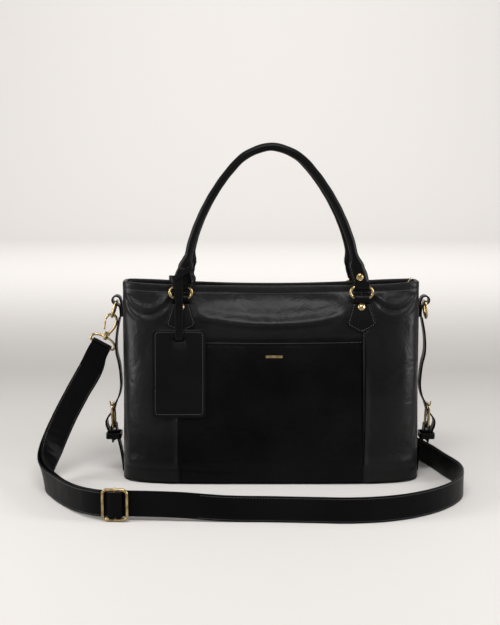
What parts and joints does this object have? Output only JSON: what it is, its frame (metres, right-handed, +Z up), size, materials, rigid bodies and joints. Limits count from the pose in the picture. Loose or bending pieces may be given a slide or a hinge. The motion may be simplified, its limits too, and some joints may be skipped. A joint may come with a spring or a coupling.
{
  "type": "diaper bag",
  "caption": "Soft leather diaper bag with rolled handles, slip pocket, side buckle straps, luggage tag and a clip-on shoulder strap.",
  "frame": {"origin": "centre of the base, on the surface that the bag stands on", "axes": "+Z up, -Y out of the front with the slip pocket, +X to the right seen from the front"},
  "size_m": [0.5908, 0.3766, 0.4749],
  "materials": {
    "leather": "smooth black leather, soft sheen",
    "strap_leather": "black strap leather, edge stitched",
    "lining": "woven cotton lining",
    "zip_tape": "woven tape",
    "board": "stiff base board",
    "gold_metal": "polished light gold"
  },
  "bodies": {
    "root": {"front_panel": "leather", "back_panel": "leather", "left_side_panel": "leather", "right_side_panel": "leather", "base_panel": "leather", "front_pocket": "leather", "mouth_facing": "leather", "lining": "lining", "base_board": "board", "inner_pocket": "lining", "zipper_tape_front": "zip_tape", "zipper_tape_rear": "zip_tape", "front_plate": "gold_metal", "shoulder_strap": "strap_leather", "strap_return": "strap_leather", "front_left_tab": "leather", "front_left_tab_rivet": "gold_metal", "front_right_tab": "leather", "front_right_tab_rivet": "gold_metal", "rear_left_tab": "leather", "rear_left_tab_rivet": "gold_metal", "rear_right_tab": "leather", "rear_right_tab_rivet": "gold_metal", "left_side_loop": "leather", "left_side_strap": "leather", "left_side_chape": "leather", "left_buckle_frame": "gold_metal", "left_keeper": "leather", "right_side_loop": "leather", "right_side_strap": "leather", "right_side_chape": "leather", "right_buckle_frame": "gold_metal", "right_keeper": "leather"},
    "front_rings": {"front_left_oval_ring": "gold_metal", "front_right_oval_ring": "gold_metal"},
    "front_handle": {"front_handle": "leather", "front_handle_left_rivet": "gold_metal", "front_handle_right_rivet": "gold_metal", "tag_knot": "leather"},
    "rear_rings": {"rear_left_oval_ring": "gold_metal", "rear_right_oval_ring": "gold_metal"},
    "rear_handle": {"rear_handle": "leather", "rear_handle_left_rivet": "gold_metal", "rear_handle_right_rivet": "gold_metal"},
    "tag_strap": {"tag_strap": "leather"},
    "luggage_tag": {"luggage_tag": "leather"},
    "zipper_slider": {"zipper_slider": "gold_metal"},
    "zipper_pull": {"zipper_pull": "gold_metal"},
    "strap_slider": {"strap_slider_frame": "gold_metal", "strap_bar_loop": "strap_leather"},
    "left_d_ring": {"left_d_ring": "gold_metal"},
    "left_prong": {"left_buckle_prong": "gold_metal"},
    "left_strap_ring": {"left_strap_ring": "gold_metal"},
    "left_clasp": {"left_clasp": "gold_metal"},
    "left_gate": {"left_clasp_gate": "gold_metal"},
    "right_d_ring": {"right_d_ring": "gold_metal"},
    "right_prong": {"right_buckle_prong": "gold_metal"},
    "right_strap_ring": {"right_strap_ring": "gold_metal"},
    "right_clasp": {"right_clasp": "gold_metal"},
    "right_gate": {"right_clasp_gate": "gold_metal"}
  },
  "joints": [
    {"name": "front_rings_turn", "type": "hinge", "parent": "root", "child": "front_rings", "pos_m": [0, -0.0415, 0.2602], "axis": [1, 0, 0], "range_deg": [-1, 26]},
    {"name": "front_handle_fold", "type": "hinge", "parent": "front_rings", "child": "front_handle", "pos_m": [0, -0.0415, 0.2758], "axis": [1, 0, 0], "range_deg": [0, 55]},
    {"name": "rear_rings_turn", "type": "hinge", "parent": "root", "child": "rear_rings", "pos_m": [0, 0.0415, 0.2602], "axis": [-1, 0, 0], "range_deg": [-3, 26]},
    {"name": "rear_handle_fold", "type": "hinge", "parent": "rear_rings", "child": "rear_handle", "pos_m": [0, 0.0415, 0.2758], "axis": [-1, 0, 0], "range_deg": [-5, 55]},
    {"name": "tag_strap_hang", "type": "hinge", "parent": "front_handle", "child": "tag_strap", "pos_m": [-0.1275, -0.053, 0.289], "axis": [1, 0, 0], "range_deg": [-81, 1]},
    {"name": "tag_swing", "type": "hinge", "parent": "tag_strap", "child": "luggage_tag", "pos_m": [-0.1275, -0.05768, 0.2045], "axis": [1, 0, 0], "range_deg": [-10, 0]},
    {"name": "left_d_ring_swing", "type": "hinge", "parent": "root", "child": "left_d_ring", "pos_m": [-0.2195, 0, 0.25], "axis": [0, 1, 0], "range_deg": [0, 2]},
    {"name": "right_d_ring_swing", "type": "hinge", "parent": "root", "child": "right_d_ring", "pos_m": [0.2195, 0, 0.25], "axis": [0, -1, 0], "range_deg": [0, 80]},
    {"name": "left_prong_swing", "type": "hinge", "parent": "root", "child": "left_prong", "pos_m": [-0.2262, 0, 0.069], "axis": [0, -1, 0], "range_deg": [0, 12]},
    {"name": "right_prong_swing", "type": "hinge", "parent": "root", "child": "right_prong", "pos_m": [0.2262, 0, 0.069], "axis": [0, 1, 0], "range_deg": [0, 12]},
    {"name": "zip_slide", "type": "slide", "parent": "root", "child": "zipper_slider", "axis": [1, 0, 0], "range_m": [-0.33, 0]},
    {"name": "zip_pull_swing", "type": "hinge", "parent": "zipper_slider", "child": "zipper_pull", "pos_m": [0.1945, 0, 0.2766], "axis": [0, 1, 0], "range_deg": [-60, 10]},
    {"name": "strap_slider_slide", "type": "slide", "parent": "root", "child": "strap_slider", "axis": [0.9976, -0.0698, 0], "range_m": [0, 0.03]},
    {"name": "left_strap_ring_turn", "type": "hinge", "parent": "root", "child": "left_strap_ring", "pos_m": [-0.24244, 0, 0.1875], "axis": [0.88, 0, -0.475], "range_deg": [-1, 1]},
    {"name": "left_clasp_swivel", "type": "hinge", "parent": "left_strap_ring", "child": "left_clasp", "pos_m": [-0.2365, 0, 0.1985], "axis": [0.3289, 0, 0.9444], "range_deg": [-4, 4]},
    {"name": "left_gate_open", "type": "hinge", "parent": "left_clasp", "child": "left_gate", "pos_m": [-0.2382, 0, 0.2082], "axis": [0, 1, 0], "range_deg": [0, 16], "stiffness_Nm_per_rad": 0.01, "springref_deg": -11.46},
    {"name": "right_strap_ring_turn", "type": "hinge", "parent": "root", "child": "right_strap_ring", "pos_m": [-0.0875, 0.125, 0.0051], "axis": [0, 1, 0], "range_deg": [0, 75]},
    {"name": "right_clasp_swivel", "type": "hinge", "parent": "right_strap_ring", "child": "right_clasp", "pos_m": [-0.1, 0.125, 0.0051], "axis": [-1, 0, 0], "continuous": true},
    {"name": "right_gate_open", "type": "hinge", "parent": "right_clasp", "child": "right_gate", "pos_m": [-0.1086, 0.1202, 0.0051], "axis": [0, 0, -1], "range_deg": [0, 20], "stiffness_Nm_per_rad": 0.01, "springref_deg": -11.46}
  ],
  "couplings": [
    {"joint": "front_rings_turn", "follows": "front_handle_fold", "ratio": 0.45},
    {"joint": "rear_rings_turn", "follows": "rear_handle_fold", "ratio": 0.45},
    {"joint": "tag_strap_hang", "follows": "front_handle_fold", "ratio": -1.45}
  ]
}
